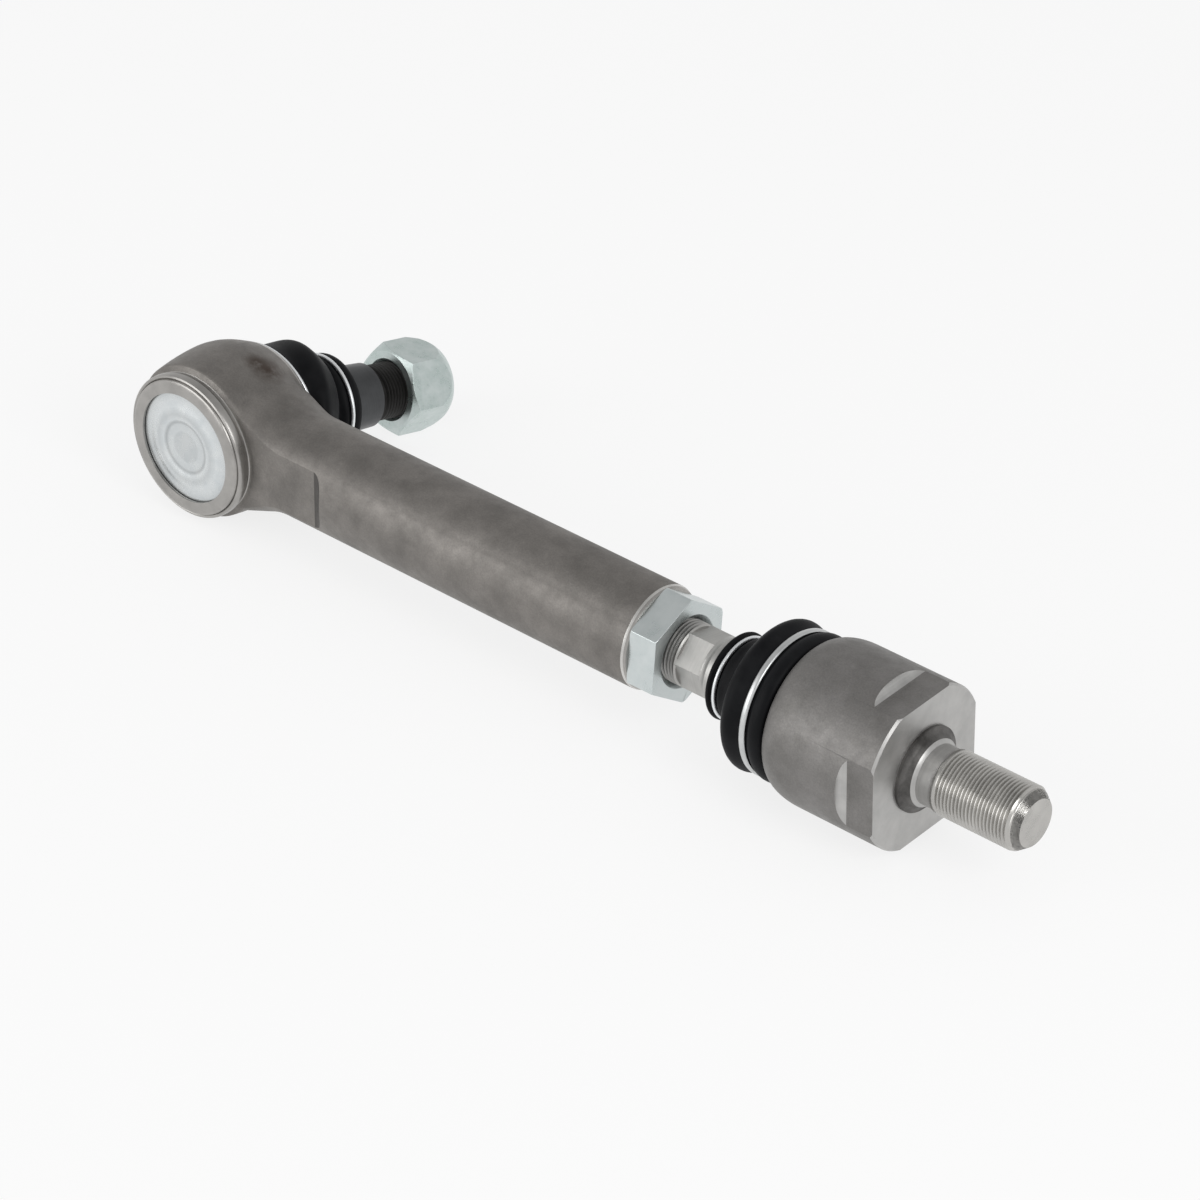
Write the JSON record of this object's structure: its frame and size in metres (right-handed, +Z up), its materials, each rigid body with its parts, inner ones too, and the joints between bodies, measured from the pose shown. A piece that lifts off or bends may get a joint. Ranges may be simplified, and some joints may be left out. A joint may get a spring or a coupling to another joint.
{
  "type": "tie rod",
  "caption": "Adjustable steel tie rod: a forged threaded rod with a ball joint across its end and an axial ball joint on a locked, threaded shank.",
  "frame": {"origin": "centre of the outer ball, in the rod's head", "axes": "+X along the rod to the axial joint's male thread, +Y along the head from its cap to its stud side, +Z up as the rod lies on a table"},
  "size_m": [0.4121, 0.131, 0.064],
  "materials": {
    "forged_steel": "satin, as forged and blasted",
    "housing_steel": "satin, turned and blasted",
    "zinc_steel": "bright zinc plate",
    "bright_steel": "machined, bright",
    "dark_steel": "dark, oiled",
    "spring_steel": "blued spring steel",
    "ring_wire": "bright wire",
    "black_rubber": "satin moulded rubber",
    "seal_rubber": "satin",
    "seat_plastic": "moulded acetal",
    "nylon": "moulded nylon"
  },
  "bodies": {
    "rod": {"rod_body": "forged_steel", "end_cap": "zinc_steel", "cap_seal": "seal_rubber", "disc_spring": "spring_steel", "pressure_pad": "seat_plastic", "bearing_shell": "seat_plastic", "outer_boot_large_ring": "ring_wire"},
    "outer_boot_body": {"outer_boot": "black_rubber"},
    "outer_boot_collar": {"outer_boot_small_ring": "ring_wire"},
    "ball_stud": {"ball_stud": "dark_steel"},
    "stud_nut": {"stud_nut": "zinc_steel", "stud_nut_insert": "nylon"},
    "lock_nut": {"lock_nut": "zinc_steel"},
    "shank_slide": {"axial_boot_small_ring": "ring_wire"},
    "axial_stud": {"axial_stud": "bright_steel"},
    "axial_boot_body": {"axial_boot": "black_rubber"},
    "axial_boot_cuff": {"axial_boot_large_ring": "ring_wire"},
    "axial_housing": {"axial_housing": "housing_steel", "axial_closing_ring": "bright_steel", "axial_front_seat": "seat_plastic", "axial_rear_seat": "seat_plastic", "axial_disc_spring": "spring_steel"}
  },
  "joints": [
    {"name": "outer_tilt", "type": "hinge", "parent": "rod", "child": "outer_boot_body", "pos_m": [0, 0, 0], "axis": [1, 0, 0], "range_deg": [-6.6, 25.4], "deforming": ["outer_boot"]},
    {"name": "outer_swing", "type": "hinge", "parent": "outer_boot_body", "child": "outer_boot_collar", "pos_m": [0, 0, 0], "axis": [0, 0.1633, 0.9866], "range_deg": [-9.2, 22.8], "deforming": ["outer_boot"]},
    {"name": "outer_spin", "type": "hinge", "parent": "outer_boot_collar", "child": "ball_stud", "pos_m": [0, 0, 0], "axis": [0.1184, 0.9796, -0.1622], "continuous": true},
    {"name": "stud_nut_travel", "type": "slide", "parent": "ball_stud", "child": "stud_nut", "axis": [0.1184, 0.9796, -0.1622], "range_m": [-0.008, 0.01]},
    {"name": "lock_nut_travel", "type": "slide", "parent": "rod", "child": "lock_nut", "axis": [1, 0, 0], "range_m": [0, 0.003]},
    {"name": "length_adjust", "type": "slide", "parent": "rod", "child": "shank_slide", "axis": [1, 0, 0], "range_m": [-0.003, 0.03]},
    {"name": "shank_turn", "type": "hinge", "parent": "shank_slide", "child": "axial_stud", "pos_m": [0.296, 0, 0], "axis": [1, 0, 0], "range_deg": [-725, 7205]},
    {"name": "axial_tilt", "type": "hinge", "parent": "shank_slide", "child": "axial_boot_body", "pos_m": [0.296, 0, 0], "axis": [0, 1, 0], "range_deg": [-14, 14], "deforming": ["axial_boot"]},
    {"name": "axial_swing", "type": "hinge", "parent": "axial_boot_body", "child": "axial_boot_cuff", "pos_m": [0.296, 0, 0], "axis": [0, 0, 1], "range_deg": [-14, 14], "deforming": ["axial_boot"]},
    {"name": "axial_spin", "type": "hinge", "parent": "axial_boot_cuff", "child": "axial_housing", "pos_m": [0.296, 0, 0], "axis": [1, 0, 0], "continuous": true}
  ],
  "couplings": [
    {"joint": "shank_turn", "follows": "length_adjust", "rad_per_m": 4188.8}
  ]
}
